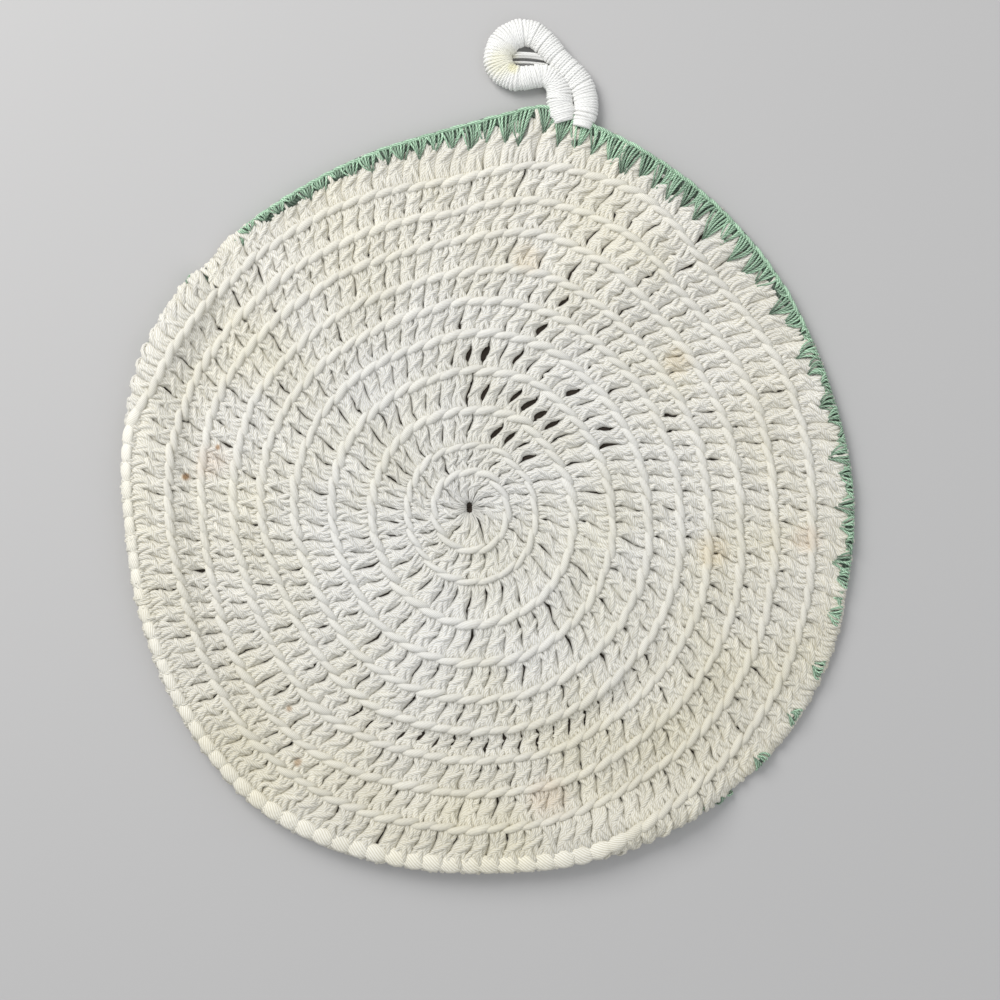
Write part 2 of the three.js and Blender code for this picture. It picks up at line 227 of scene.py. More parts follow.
# The tones that the cream yarn is multiplied by, and between which distances from the middle they change,
# in metres. The lower tone is painted shade, darker towards the bottom and the rim; it comes in between two
# values of y, also in metres, and the clouds between two values of their noise.
MIDDLE_TONE = (0.985, 0.99, 1.0)
RIM_TONE = (1.0, 0.992, 0.965)
TONE_FROM, TONE_TO = 0.035, 0.075
LOWER_PAINTED_SHADE = (0.925, 0.915, 0.875)
LOWER_FROM, LOWER_TO = 0.02, -0.06
CLOUD_TONE = (0.97, 0.95, 0.86)
CLOUD_SCALE, CLOUD_DETAIL = 45, 3
CLOUD_FROM, CLOUD_TO, CLOUD_MOST = 0.40, 0.68, 0.7
# The stains: x, y, reach, tone, strength. They fade out between two parts of their reach.
STAIN_GRAIN, STAIN_FULL, STAIN_ENDS = 0.6, 0.7, 1.5
ORANGE, ROSE, BROWN, YELLOW = (0.96, 0.80, 0.55), (0.98, 0.86, 0.78), (0.50, 0.33, 0.20), (0.93, 0.90, 0.66)
CREAM_STAINS = (
    (14.3, 61.4, 5, ORANGE, 0.28),
    (51.3, 36.4, 5, ORANGE, 0.3),
    (60.6, -10.6, 6, ORANGE, 0.3),
    (-64.4, 11.4, 6, ROSE, 0.5),
    (20.1, -71.6, 7, ROSE, 0.5),
    (84.0, -8.0, 5, ROSE, 0.5),
    (-70.2, 7.6, 1.3, BROWN, 1.0),
    (-62.4, 15.1, 1.1, BROWN, 0.9),
    (-42.4, -63.1, 1.4, BROWN, 0.7),
    (-44.9, -49.9, 1.2, BROWN, 0.7),
)
LOOP_STAINS = ((8.0, 110.4, 5.5, YELLOW, 0.55), (10.8, 109.0, 2.0, YELLOW, 0.8))

# Yarn: how light it is at tint 0 and at tint 1, the ends of a ply's wave from groove to crest, how many
# plies pass in a millimetre of strand, how far along them a strand may start, and its relief.
TINT_DARK, TINT_LIGHT = 0.88, 1.06
PLY_GROOVE, PLY_CREST, PLY_TWIST = -1, 0.6, 1.1
PLY_START_MOST = 50
FIBRE_SCALE, FIBRE_DETAIL, FIBRE_HIGH = 2600, 3, 0.5
LUMP_SCALE, LUMP_DETAIL, LUMPY = 800, 2, 3.0
BUMP_STRENGTH, BUMP_DEEP = 0.6, 0.00012
SHEEN_ROUGH, SPECULAR = 0.5, 0.25
INNER_SCALE, INNER_DEEP, INNER_SPECULAR = 700, 0.0002, 0.1

# Core: the thin inner layer of the cloth, a near-black sheet of painted shade that shows in the slots
# between stitches. It starts at a small hole and stops CORE_SHORT inside the cloth's rim.
CORE_TOP = 0.05
CORE_THICK = 0.3
CORE_COLUMNS = 180
CORE_RINGS = 60
CORE_HOLE, CORE_SHORT = 0.2, 2.6

# Studio, in metres: how wide the view is and where its middle lies, the lights and the floor. The lens and
# the sensor are in millimetres.
VIEW_WIDE, VIEW_X, VIEW_Y = 0.250, 0.0076, 0.0019
LENS, SENSOR = 60, 36
# Each light's name, place, size, power and colour.
LIGHTS = (
    ("key", (-0.42, 0.48, 0.58), 0.5, 5.8, (1.0, 0.99, 0.98)),
    ("fill", (0.7, -0.5, 0.8), 0.9, 2, (0.97, 0.98, 1.0)),
)
SKY_COLOUR, SKY_STRENGTH = (0.95, 0.97, 1.0, 1), 0.54
FLOOR_COLOUR, FLOOR_ROUGH, FLOOR_REACH = (0.50, 0.495, 0.49, 1), 0.7, 1.5


def smooth_step(value):
    """0 up to 0, 1 from 1 on, and a smooth rise between."""
    t = np.clip(value, 0, 1)
    return t * t * (3 - 2 * t)


def measured(name, degrees):
    """A smooth curve through one column of the table, at angles in degrees."""
    if name == "centre":
        return np.zeros_like(degrees)
    at = SECTIONS[:, 0]
    value = SECTIONS[:, COLUMNS.index(name)]
    at = np.concatenate([at[-1:] - 360, at, at[:2] + 360])
    value = np.concatenate([value[-1:], value, value[:2]])
    slope = (value[2:] - value[:-2]) / (at[2:] - at[:-2])
    degrees = np.mod(degrees, 360)
    row = np.searchsorted(at, degrees, side="right") - 1
    span = at[row + 1] - at[row]
    t = (degrees - at[row]) / span
    rise = value[row + 1] - value[row]
    bends = rise != 0
    start = slope[row - 1] * span * bends
    end = slope[row] * span * bends
    return value[row] + rise * t + t * (1 - t) * ((1 - t) * (start - rise) - t * (end - rise))


def ridge_radius(number, degrees):
    """How far out ridge number lies, along the cloth. Ridge 0 is the middle, and ridge 11 the cloth's rim."""
    if number == 0:
        return np.zeros_like(degrees)
    if number > len(RIDGES):
        return cloth_length(degrees)
    low, high, share = RIDGES[number - 1]
    inner = measured(low, degrees)
    return inner + (measured(high, degrees) - inner) * share


def roll_of(degrees):
    """The length rolled under, how far it turns, and where along the cloth the roll starts."""
    rolled = np.maximum(0, measured("rolled", degrees))
    turn = np.minimum(np.pi, rolled / ROLL_RADIUS)
    start = measured("edge", degrees) - (ROLL_RADIUS + HALF) * np.sin(np.minimum(turn, np.pi / 2))
    return rolled, turn, start


def cloth_length(degrees):
    """How far it is from the middle to the cloth's rim, along the cloth."""
    rolled, _, start = roll_of(degrees)
    return start + rolled


def swell_at(x, y, degrees, radius):
    """How far the cloth stands off the surface here."""
    high = np.zeros_like(x)
    for swell_x, swell_y, reach, swell_high in SWELLS:
        high += swell_high * smooth_step(1 - np.hypot(x - swell_x, y - swell_y) / reach)
    middle, wide = (TROUGH_FROM + TROUGH_TO) / 2, (TROUGH_TO - TROUGH_FROM) / 2
    around = np.abs(np.mod(degrees, 360) - middle) / wide
    across = np.abs(radius - measured("sixth", degrees) * TROUGH_AT) / TROUGH_HALF_WIDE
    return high - TROUGH_DEEP * smooth_step(TROUGH_STEEP * (1 - around)) * smooth_step(1 - across)


def place(degrees, along, high):
    """The points at these places on the cloth, and the direction in which its top face looks there."""
    rolled, full_turn, start = roll_of(degrees)
    under = np.where(full_turn > np.pi / 2, HALF + UNDER_PROUD, HALF)
    flat_lip = np.maximum(0, rolled - np.pi * ROLL_RADIUS)
    lift = ROLL_RADIUS * (1 - np.cos(full_turn)) + under * np.abs(np.cos(full_turn)) - HALF
    lift_end = start - flat_lip - LIFT_EARLY

    beyond = np.maximum(0, along - start)
    turn = np.minimum(full_turn, beyond / ROLL_RADIUS)
    lip = beyond - turn * ROLL_RADIUS
    radius = np.minimum(along, start) + (ROLL_RADIUS + high) * np.sin(turn) + lip * np.cos(turn)
    angle = np.radians(degrees)
    x, y = radius * np.cos(angle), radius * np.sin(angle)
    climb = lift * smooth_step(1 + (along - lift_end) / LIFT_REACH)
    drop = ROLL_RADIUS * (1 - np.cos(turn)) + lip * np.sin(turn)
    swell = np.where(beyond > 0, 0, swell_at(x, y, degrees, radius))
    z = HALF + climb - drop + high * np.cos(turn) + np.where(high > 0, swell, np.maximum(0, swell))
    up = np.stack([np.sin(turn) * np.cos(angle), np.sin(turn) * np.sin(angle), np.cos(turn)], -1)
    return np.stack([x, y, z], -1), up


def smooth_line(rows, points):
    """Rows of a given line, resampled evenly to so many points on a Catmull-Rom curve."""
    rows = np.asarray(rows, float)
    padded = np.concatenate([2 * rows[:1] - rows[1:2], rows, 2 * rows[-1:] - rows[-2:-1]])
    at = np.linspace(0, len(rows) - 1, points)
    row = np.minimum(at.astype(int), len(rows) - 2)
    t = (at - row)[:, None]
    a, b, c, d = (padded[row + i] for i in range(4))
    return 0.5 * (
        2 * b + (c - a) * t + (2 * a - 5 * b + 4 * c - d) * t**2 + (3 * b - a - 3 * c + d) * t**3
    )


class Yarns:
    """Tubes of yarn, gathered and then made into one mesh of quads."""

    def __init__(self):
        self.points, self.faces, self.maps, self.tints = [], [], [], []
        self.count = 0

    def add(self, line, up, wide, thick, sides=6, closed=False, tint=None, lines=1):
        """Adds one tube for each line. line and up have a row for each point, wide and thick are half sizes.

        lines is how many times the yarn's fine lines go round it.
        """
        tubes, steps = line.shape[:2]
        if closed:
            ahead = np.roll(line, -1, 1) - np.roll(line, 1, 1)
        else:
            ahead = np.gradient(line, axis=1)
        ahead /= np.linalg.norm(ahead, axis=2, keepdims=True) + TINY
        side = np.cross(ahead, up)
        side /= np.linalg.norm(side, axis=2, keepdims=True) + TINY
        above = np.cross(side, ahead)
        turn = 2 * np.pi * np.arange(sides) / sides
        ring = line[:, :, None] + (
            (wide[..., None] * np.cos(turn))[..., None] * side[:, :, None]
            + (thick[..., None] * np.sin(turn))[..., None] * above[:, :, None]
        )
        ring[..., 2] = np.maximum(ring[..., 2], 0)
        self.points.append(ring.reshape(-1, 3))
        if tint is None:
            tint = chance.uniform(0, 1, tubes)
        if tint.ndim == 1:
            tint = tint[:, None] + np.zeros(steps)
        self.tints.append(np.repeat(tint.ravel(), sides))

        index = self.count + np.arange(tubes * steps * sides).reshape(tubes, steps, sides)
        here = index if closed else index[:, :-1]
        there = np.roll(index, -1, 1) if closed else index[:, 1:]
        walls = np.stack([here, there, np.roll(there, -1, 2), np.roll(here, -1, 2)], -1)
        step = np.linalg.norm(np.diff(line, axis=1), axis=2)
        run = np.concatenate([np.zeros((tubes, 1)), np.cumsum(step, 1)], 1)
        start = chance.uniform(0, PLY_START_MOST, tubes)[:, None]
        u_here = (run + start)[:, : walls.shape[1], None] * np.ones(sides)
        u_there = (np.roll(run, -1, 1) + start)[:, : walls.shape[1], None] * np.ones(sides)
        v = np.arange(sides) / sides * lines * np.ones_like(u_here)
        after = v + lines / sides
        corners = [(u_here, v), (u_there, v), (u_there, after), (u_here, after)]
        walls_map = np.stack([np.stack(c, -1) for c in corners], -2)
        self.faces.append(walls.reshape(-1, 4))
        self.maps.append(walls_map.reshape(-1, 2))
        if not closed:
            for ring_index, turned in ((index[:, 0], False), (index[:, -1], True)):
                for m in range(sides // 2 - 1):
                    picks = [m, m + 1, sides - 2 - m, sides - 1 - m]
                    cap = ring_index[:, picks[::-1] if turned else picks]
                    self.faces.append(cap)
                    self.maps.append(np.zeros((cap.size, 2)))
        self.count += tubes * steps * sides

    def mesh(self, name, material):
        """All the tubes so far, as one piece."""
        return make_mesh(
            name,
            np.concatenate(self.points),
            np.concatenate(self.faces),
            material,
            np.concatenate(self.maps),
            np.concatenate(self.tints),
        )


def make_mesh(name, points, faces, material, yarn_map=None, tint=None):
    """A smooth mesh of quads, from points in millimetres."""
    mesh = bpy.data.meshes.new(name)
    mesh.vertices.add(len(points))
    mesh.vertices.foreach_set("co", (points * METRES).astype(np.float32).ravel())
    mesh.loops.add(faces.size)
    mesh.loops.foreach_set("vertex_index", faces.astype(np.int32).ravel())
    mesh.polygons.add(len(faces))
    mesh.polygons.foreach_set("loop_start", np.arange(0, faces.size, 4, dtype=np.int32))
    mesh.polygons.foreach_set("use_smooth", np.ones(len(faces), bool))
    mesh.update(calc_edges=True)
    if yarn_map is not None:
        mesh.uv_layers.new(name="yarn").uv.foreach_set("vector", yarn_map.astype(np.float32).ravel())
    if tint is not None:
        mesh.attributes.new("tint", "FLOAT", "POINT").data.foreach_set("value", tint.astype(np.float32))
    mesh.materials.append(material)
    piece = bpy.data.objects.new(name, mesh)
    bpy.context.scene.collection.objects.link(piece)
    return piece


# How a stitch leans: where its middle lies, in stitch widths, by the share of the way from the ridge
# inside it to the ridge outside it. The slots between stitches lie the same way.
SWAY = [(-0.05, -0.06), (0.12, 0.08), (0.3, 0.15), (0.5, 0.02), (0.72, -0.14), (0.9, -0.08), (1.06, 0.04)]
# How high a stitch stands by that share, as a part of its full height, and half the width of its body
# there.
CROWN = [
    (-0.05, 0.1), (0.0, 0.4), (0.12, 0.8), (0.35, 0.95), (0.7, 1.0), (0.9, 0.85), (1.0, 0.45), (1.06, 0.1),
]
BODY_WIDE = [(-0.05, 0.40), (0.15, 0.51), (0.45, 0.495), (0.8, 0.54), (0.94, 0.52), (1.06, 0.36)]

# The strands of one stitch, each with half its width, its count of points and its line. A row of the line
# is a share of the way outwards, how far the strand lies from the stitch's middle in stitch widths, and
# its height above mid-cloth. The two legs cross at the waist and a wrap goes round them there. Then come
# the strands up the middle, below and above the wrap, and the shoulders that reach over to the next
# stitch.
FRONT_STRANDS = (
    (0.60, 9, (
        (-0.02, -0.30, 0.50), (0.2, -0.27, 0.92), (0.45, 0.00, 1.00), (0.7, 0.22, 1.00), (1.03, 0.36, 0.50),
    )),
    (0.58, 9, (
        (-0.02, 0.30, 0.50), (0.2, 0.26, 0.95), (0.45, 0.12, 0.75), (0.74, -0.2, 0.95), (1.03, -0.32, 0.50),
    )),
    (0.54, 7, (
        (0.34, 0.42, 0.00), (0.42, 0.30, 0.95), (0.53, 0.02, 1.32), (0.62, -0.26, 1.00), (0.68, -0.40, 0.00),
    )),
    (0.52, 6, ((-0.02, 0.00, 0.55), (0.15, 0.03, 1.05), (0.34, -0.06, 1.10), (0.50, -0.14, 0.30))),
    (0.56, 6, ((0.52, 0.06, 0.30), (0.66, 0.00, 1.12), (0.88, 0.03, 1.16), (1.03, 0.06, 0.60))),
    (0.54, 6, ((0.58, -0.16, 0.30), (0.70, -0.36, 0.95), (0.86, -0.50, 0.98), (1.03, -0.54, 0.50))),
    (0.50, 6, ((-0.02, 0.52, 0.40), (0.10, 0.48, 0.88), (0.24, 0.36, 0.90), (0.42, 0.16, 0.30))),
)
BACK_STRANDS = (
    (0.72, 5, ((-0.02, -0.18, -0.40), (0.4, -0.26, -0.78), (1.02, -0.16, -0.40))),
    (0.72, 5, ((-0.02, 0.16, -0.40), (0.4, 0.25, -0.82), (1.02, 0.20, -0.40))),
)
# How far a strand wanders from its line, in stitch widths, and how quickly it turns back. Then the limits of
# half its width, of half its thickness and of its tint.
WANDER, WANDER_WAVES = 0.045, 5
STRAND_LEAST, STRAND_MOST, STRAND_THICK_MOST = 0.1, 0.85, 0.48
STRAND_HIGH_UNEVEN, STRAND_TINT_UNEVEN, STRAND_TINT_MOST = 0.09, 0.18, 1.2
# The body of a stitch lies a little above mid-cloth. BODY_THIN is the part of its thickness that is
# left where the crown is 0, and the last value scales its tint down: painted shade, darker than the strands
# that lie over it.
BODY_FROM, BODY_TO, BODY_POINTS, BODY_SIDES = -0.03, 1.03, 10, 8
BODY_HIGH, BODY_THICK, BODY_THIN, BODY_PAINTED_SHADE = 0.2, 1.0, 0.4, 0.8
# How many times the fine lines go round a body or a ridge's loop.
PLUMP_LINES = 3
# The last round stops short of the rim, under the edging, and its bodies are wider by LAST_SNUG. Where it
# covers the edging it reaches out to COVER_REACH, unless COVER_ROLLED or more of the cloth is rolled under
# there.
LAST_REACH, LAST_SNUG = 0.965, 1.1
COVER_REACH, COVER_ROLLED = 1.03, 4
# The loop that stands up along the ridge outside each round. Its second value is millimetres outwards, and
# its last is half its width.
RIDGE_LOOP = [
    (-0.80, 0.50, 0.45, 0.40),
    (-0.58, 0.64, 1.10, 0.74),
    (-0.24, 0.36, 1.42, 0.93),
    (0.10, -0.02, 1.50, 0.98),
    (0.42, -0.42, 1.34, 0.90),
    (0.66, -0.62, 0.95, 0.66),
    (0.82, -0.58, 0.40, 0.38),
]
RIDGE_POINTS, RIDGE_SIDES, RIDGE_FLAT = 8, 8, 0.85
# How far its loops differ in size, slant, distance from the middle and height, and their tints, which lie
# above the stitches' as painted light on the raised loops and vary at random within that. The first two
# rounds have smaller ones.
RIDGE_SIZE_UNEVEN, RIDGE_SLANT_UNEVEN, RIDGE_OUT_UNEVEN, RIDGE_HIGH_UNEVEN = 0.07, 0.2, 0.12, 0.05
RIDGE_LIT_TINTS = (0.6, 1.1)
SMALL_RIDGES, SMALL_RIDGE = 2, 0.8
SAMPLE_POINTS = 80


def sample(rows, at):
    """The value at each place on a smooth line through rows of (place, value)."""
    fine = smooth_line(rows, SAMPLE_POINTS)
    return np.interp(at, fine[:, 0], fine[:, 1])


class Round:
    """The loose places of the stitches of one round."""

    def __init__(self, number):
        self.number = number
        self.last = number == len(STITCHES)
        self.count = STITCHES[number - 1]
        self.pitch = 360 / self.count
        uneven = chance.normal(0, PLACE_UNEVEN, self.count)
        self.middles = (np.arange(self.count) + 0.5 + uneven) * self.pitch
        self.lean = chance.normal(1, LEAN_UNEVEN, self.count)[:, None]
        self.lift = chance.normal(0, LIFT_UNEVEN, self.count)[:, None]
        self.tint = chance.uniform(*STITCH_TINTS, self.count)
        slots = self.slots()
        self.before = slots[:, None] / 2
        self.after = np.roll(slots, -1)[:, None] / 2

    def slots(self):
        """How wide the slot before each stitch is, in stitch widths."""
        uneven = np.minimum(chance.gamma(*SLOT_GAMMA, self.count), SLOT_MOST)
        slots = SLOT_OPEN[self.number - 1] * uneven * self.calm()
        for degrees, radius in GAPING:
            inner, outer = (ridge_radius(self.number - i, np.array([degrees]))[0] for i in (1, 0))
            if inner < radius < outer:
                slots[round(degrees / self.pitch) % self.count] = GAPE
        return slots

    def calm(self):
        """1 far from the first swell, and less on it."""
        angle = np.radians(self.middles)
        radius = ridge_radius(self.number, self.middles) - CALM_IN
        x, y, reach, _ = SWELLS[0]
        away = np.hypot(radius * np.cos(angle) - x, radius * np.sin(angle) - y)
        return 1 - CALM_MOST * smooth_step(CALM_NEAR - CALM_FALLS * away / reach)

    def across(self, offset, share):
        """Where a line at this offset from the middles lies, in degrees, and how much room its stitch has."""
        opens = smooth_step((share - SLOT_FROM) / SLOT_FADES) * smooth_step((SLOT_TO - share) / SLOT_FADES)
        before = self.before * opens
        after = self.after * opens
        room = 1 - before - after
        moved = offset * room + (before - after) / 2
        return self.middles[:, None] + (moved + sample(SWAY, share) * self.lean) * self.pitch, room

    def lay(self, degrees, share, high):
        """The points of these lines, the way up there, and a stitch width in millimetres."""
        inner = ridge_radius(self.number - 1, degrees)
        outer = ridge_radius(self.number, degrees)
        if self.number == 1:
            inner = inner + hole_radius(degrees)
        reach = 1
        if self.last:
            covers = green_hides(degrees) * smooth_step(1 - measured("rolled", degrees) / COVER_ROLLED)
            reach = LAST_REACH + (COVER_REACH - LAST_REACH) * covers
        along = inner + (outer - inner) * share * reach
        at, up = place(degrees, along, high)
        return at, up, along * np.radians(self.pitch)


def hole_radius(degrees):
    """The closing hole in the middle, a little taller than wide."""
    return HOLE_WIDE + HOLE_TALLER * np.sin(np.radians(degrees)) ** 2


def lay_strand(yarns, stitches, shape):
    """Adds one strand to each stitch of a round."""
    half_wide, points, rows = shape
    share, offset, high = smooth_line(rows, points).T
    count = stitches.count
    wander = chance.normal(0, WANDER, (count, 3))
    wave = WANDER_WAVES * share
    offset = offset + wander[:, :1] + wander[:, 1:2] * np.sin(wave) + wander[:, 2:] * np.cos(wave)
    between_ridges = (share > 0) & (share < 1)
    share = share + chance.normal(0, WANDER / 2, (count, 1)) * between_ridges
    degrees, room = stitches.across(offset, share)
    loose = chance.normal(0, STRAND_HIGH_UNEVEN, (count, 1)) + stitches.lift
    at, up, width = stitches.lay(degrees, share, high + loose * np.sign(high))
    wide = np.clip(half_wide * room * width / USUAL_PITCH, STRAND_LEAST, STRAND_MOST)
    tint = stitches.tint + chance.normal(0, STRAND_TINT_UNEVEN, count)
    yarns.add(at, up, wide, np.minimum(wide, STRAND_THICK_MOST), tint=np.clip(tint, 0, STRAND_TINT_MOST))


def lay_body(yarns, stitches):
    """Adds the plump inside of each stitch, which its strands lie on, darkened by painted shade."""
    share = np.linspace(BODY_FROM, BODY_TO, BODY_POINTS)
    degrees, room = stitches.across(np.zeros(BODY_POINTS), share)
    crown = sample(CROWN, share)
    at, up, width = stitches.lay(degrees, share, BODY_HIGH * crown + 0 * degrees)
    wide = width * room * sample(BODY_WIDE, share)
    if stitches.last:
        wide = wide * LAST_SNUG
    thick = np.minimum(BODY_THICK * (BODY_THIN + (1 - BODY_THIN) * crown), wide)
    # Painted shade: the body's tint is scaled down, under its strands.
    yarns.add(at, up, wide, thick, BODY_SIDES, tint=stitches.tint * BODY_PAINTED_SHADE, lines=PLUMP_LINES)


def lay_ridge(yarns, stitches):
    """The loops that stand up along the outer side of a round. On the rolled rim they are plump bumps."""
    line = smooth_line(RIDGE_LOOP, RIDGE_POINTS)
    each = (stitches.count, 1)
    middles = stitches.middles[:, None] + 0.5 * stitches.pitch
    degrees = middles + line[:, 0] * stitches.pitch
    smaller = SMALL_RIDGE if stitches.number <= SMALL_RIDGES else 1.0
    size = chance.normal(1, RIDGE_SIZE_UNEVEN, each) * smaller
    shift = chance.normal(0, RIDGE_OUT_UNEVEN, each)
    slant = chance.normal(1, RIDGE_SLANT_UNEVEN, each)
    along = ridge_radius(stitches.number, degrees) + line[:, 1] * size * slant + shift
    high = line[:, 2] + chance.normal(0, RIDGE_HIGH_UNEVEN, each)
    wide = line[:, 3] * size
    thick = wide * RIDGE_FLAT
    # Painted light: the raised loops get a lighter tint than the stitches, varied at random.
    tint = chance.uniform(*RIDGE_LIT_TINTS, stitches.count)[:, None] + 0 * degrees
    if stitches.number == len(RIDGES):
        rim = rim_share(degrees)
        degrees = middles + line[:, 0] * (1 - RIM_SHORTER * rim) * stitches.pitch
        _, _, start = roll_of(degrees)
        half = rim_half_wide(degrees)
        round_end = np.sqrt(np.clip(1 - (line[:, 0] / RIM_END) ** 2, RIM_LEAST, 1))
        along = along + (start + ROLL_RADIUS * np.pi / 2 - half - along) * rim
        high = high + (RIM_HIGH * round_end - high) * rim
        wide = wide + (half * round_end - wide) * rim
        thick = thick + (RIM_THICK * round_end - thick) * rim
        # Painted light: the rim's bumps get a lighter tint.
        tint = tint + RIM_PAINTED_LIGHT * rim
    at, up = place(degrees, along, high)
    yarns.add(at, up, wide, thick, RIDGE_SIDES, tint=tint, lines=PLUMP_LINES)


def rim_share(degrees):
    """1 where the tenth ridge is a row of plump bumps on the rolled rim, 0 where it is a plain ridge."""
    inside = measured("edge", degrees) - measured("tenth", degrees)
    rolled, _, _ = roll_of(degrees)
    return smooth_step(rolled / RIM_ROLLED) * smooth_step((RIM_REACH - inside) / RIM_FADES)


def rim_half_wide(degrees):
    """Half the width of the plump bumps."""
    widens = smooth_step((np.mod(degrees, 360) - RIM_WIDENS_AT) / RIM_WIDENS_OVER)
    return RIM_LEFT + (RIM_BOTTOM - RIM_LEFT) * widens


def crochet_round(number, material):
    """All the yarn of one round, joined."""
    yarns = Yarns()
    stitches = Round(number)
    lay_body(yarns, stitches)
    for shape in (*FRONT_STRANDS, *BACK_STRANDS):
        lay_strand(yarns, stitches, shape)
    if not stitches.last:
        lay_ridge(yarns, stitches)
    return yarns.mesh(f"round_{number:02d}", material)


# One strand of a V stitch, from its point round the rim to the underside. A row is how much of the V's
# width it takes there, how much of the V's length lies outside it, its height and half its width.
V_STRAND = [
    (0.08, 1.10, 0.40, 0.16),
    (0.32, 0.90, 1.30, 0.20),
    (0.76, 0.56, 1.78, 0.25),
    (1.02, 0.22, 1.70, 0.29),
    (1.08, 0.04, 1.15, 0.34),
    (1.04, -0.02, 0.10, 0.42),
    (0.95, 0.10, -0.85, 0.42),
    (0.80, 0.50, -1.15, 0.36),
]
# A tube of near-black painted shade under the strands of a V: reach, high and half its width.
V_SHADE_BED = [(1.0, 0.3, 0.15), (0.8, 0.9, 0.45), (0.5, 1.15, 1.1), (0.2, 1.05, 1.9), (0.05, 0.7, 2.0)]
V_SHADE_BED_POINTS, V_SHADE_BED_HALF_THICK = 6, 0.25
# The tint of those tubes, far below 0, makes them nearly black: painted shade.
PAINTED_SHADE_TINT = -4.0
# One loop of the chain: its place along the edge in loop lengths, outwards as a part of CHAIN_LEANS, high
# and half its width. Then where the chain lies: how far in, how high, and how its loops lean.
CHAIN_LOOP = [
    (-0.70, 0.60, -0.35, 0.26),
    (-0.42, 0.48, 0.25, 0.42),
    (-0.08, 0.14, 0.45, 0.50),
    (0.26, -0.24, 0.42, 0.50),
    (0.54, -0.50, 0.15, 0.42),
    (0.74, -0.55, -0.40, 0.26),
]
CHAIN_IN, CHAIN_HIGH, CHAIN_LEANS, CHAIN_LINES = 0.25, 1.05, -0.35, 2
# Tubes of near-black painted shade beside the chain: how far in, how high and half its width.
CHAIN_SHADE_BEDS = ((0.6, 0.95, 0.9), (1.9, 1.25, 0.9))
CHAIN_SHADE_BED_HALF_THICK = 0.35
# The strand that the Vs go round. It is thinner where the edging is covered.
INLAY_IN, INLAY_WIDE, INLAY_THICK, INLAY_THINNER, INLAY_SIDES = 1.3, 0.95, 1.1, 0.8, 8


def green_hides(degrees):
    """1 where the last round covers the edging, 0 where it lies on the rim or is rolled under."""
    run = np.mod(degrees - GREEN_FROM, 360)
    shows = smooth_step(run / GREEN_FADES) * smooth_step((GREEN_TO - GREEN_FROM - run) / GREEN_FADES)
    return (1 - shows) * smooth_step(2 - measured("rolled", degrees) / HIDDEN_ROLLED)


def chain_sinks(degrees):
    """How far the chain has sunk: nothing where it lies on top of the edge."""
    degrees = np.mod(degrees, 360)
    comes = smooth_step((degrees - CHAIN_FROM) / CHAIN_COMES_OVER)
    goes = smooth_step((CHAIN_TO - degrees) / CHAIN_GOES_OVER)
    return CHAIN_SINKS * (1 - comes * goes)


def lay_vs(yarns):
    """The V stitches over the rim, each with its strands and a near-black tube of painted shade under them.
    """
    count = STITCHES[-1]
    pitch = 360 / count
    number = np.arange(count)
    angles = number * pitch + chance.normal(0, V_ANGLE_UNEVEN, count)
    reach = measured("green", angles) * (1 - V_SHORTER * (number % 3))
    reach = reach + chance.normal(0, V_LENGTH_UNEVEN, count)
    few = (np.mod(angles - V_FEW_FROM, 360) < V_FEW_TO - V_FEW_FROM) & (number % 3 == 1)
    reach = np.where(few, reach * V_STUNTED, reach)[:, None]
    tufts = (np.mod(angles, 360) > TUFTS_FROM) & (number % 3 == 0)
    hides = (green_hides(angles) * ~tufts)[:, None]
    angles = angles[:, None]

    line = smooth_line(V_STRAND, V_POINTS)
    lean = chance.normal(0, V_LEAN_UNEVEN, (count, 1))
    for spread in np.linspace(-V_FANS, V_FANS, V_STRANDS):
        loose = chance.normal(0, V_STRAND_UNEVEN, (count, 1)) * smooth_step(line[:, 1] / V_LOOSE_FROM)
        aside = lean * np.sin(np.pi * np.clip(line[:, 1], 0, 1)) + loose
        degrees = angles + (line[:, 0] * spread + aside) * pitch
        own_reach = reach * chance.uniform(*V_STRAND_LENGTHS, (count, 1))
        along = cloth_length(degrees) - line[:, 1] * own_reach - HIDDEN_IN * hides
        high = line[:, 2] + chance.normal(0, V_HIGH_UNEVEN, (count, 1))
        at, up = place(degrees, along, high * (1 - HIDDEN_LOW * hides))
        wide = np.tile(line[:, 3], (count, 1))
        shade = V_SHADE * smooth_step((line[:, 1] - V_SHADE_FROM) / V_SHADE_FADES)
        yarns.add(at, up, wide, wide, tint=chance.uniform(*V_TINTS, (count, 1)) + shade)

    line = smooth_line(V_SHADE_BED, V_SHADE_BED_POINTS)
    degrees = angles + 0 * line[:, 0]
    along = cloth_length(degrees) - line[:, 0] * reach - HIDDEN_IN * hides
    at, up = place(degrees, along, line[:, 1] * (1 - HIDDEN_LOW * hides))
    wide = np.tile(line[:, 2], (count, 1))
    yarns.add(at, up, wide, np.full_like(wide, V_SHADE_BED_HALF_THICK), tint=np.full(count, PAINTED_SHADE_TINT))


def lay_chain(yarns):
    """The loops of the chain along the edge."""
    line = smooth_line(CHAIN_LOOP, CHAIN_POINTS)
    pitch = 360 / CHAIN_COUNT
    angles = (np.arange(CHAIN_COUNT) + chance.normal(0, CHAIN_PLACE_UNEVEN, CHAIN_COUNT)) * pitch
    degrees = angles[:, None] + line[:, 0] * pitch
    loose = chance.normal(0, CHAIN_IN_UNEVEN, (CHAIN_COUNT, 1))
    hidden = HIDDEN_IN * green_hides(degrees)
    along = cloth_length(degrees) - CHAIN_IN + line[:, 1] * CHAIN_LEANS + loose - hidden
    at, up = place(degrees, along, CHAIN_HIGH + line[:, 2] - chain_sinks(degrees))
    wide = np.tile(line[:, 3], (CHAIN_COUNT, 1))
    yarns.add(at, up, wide, wide, tint=chance.uniform(*CHAIN_TINTS, CHAIN_COUNT), lines=CHAIN_LINES)


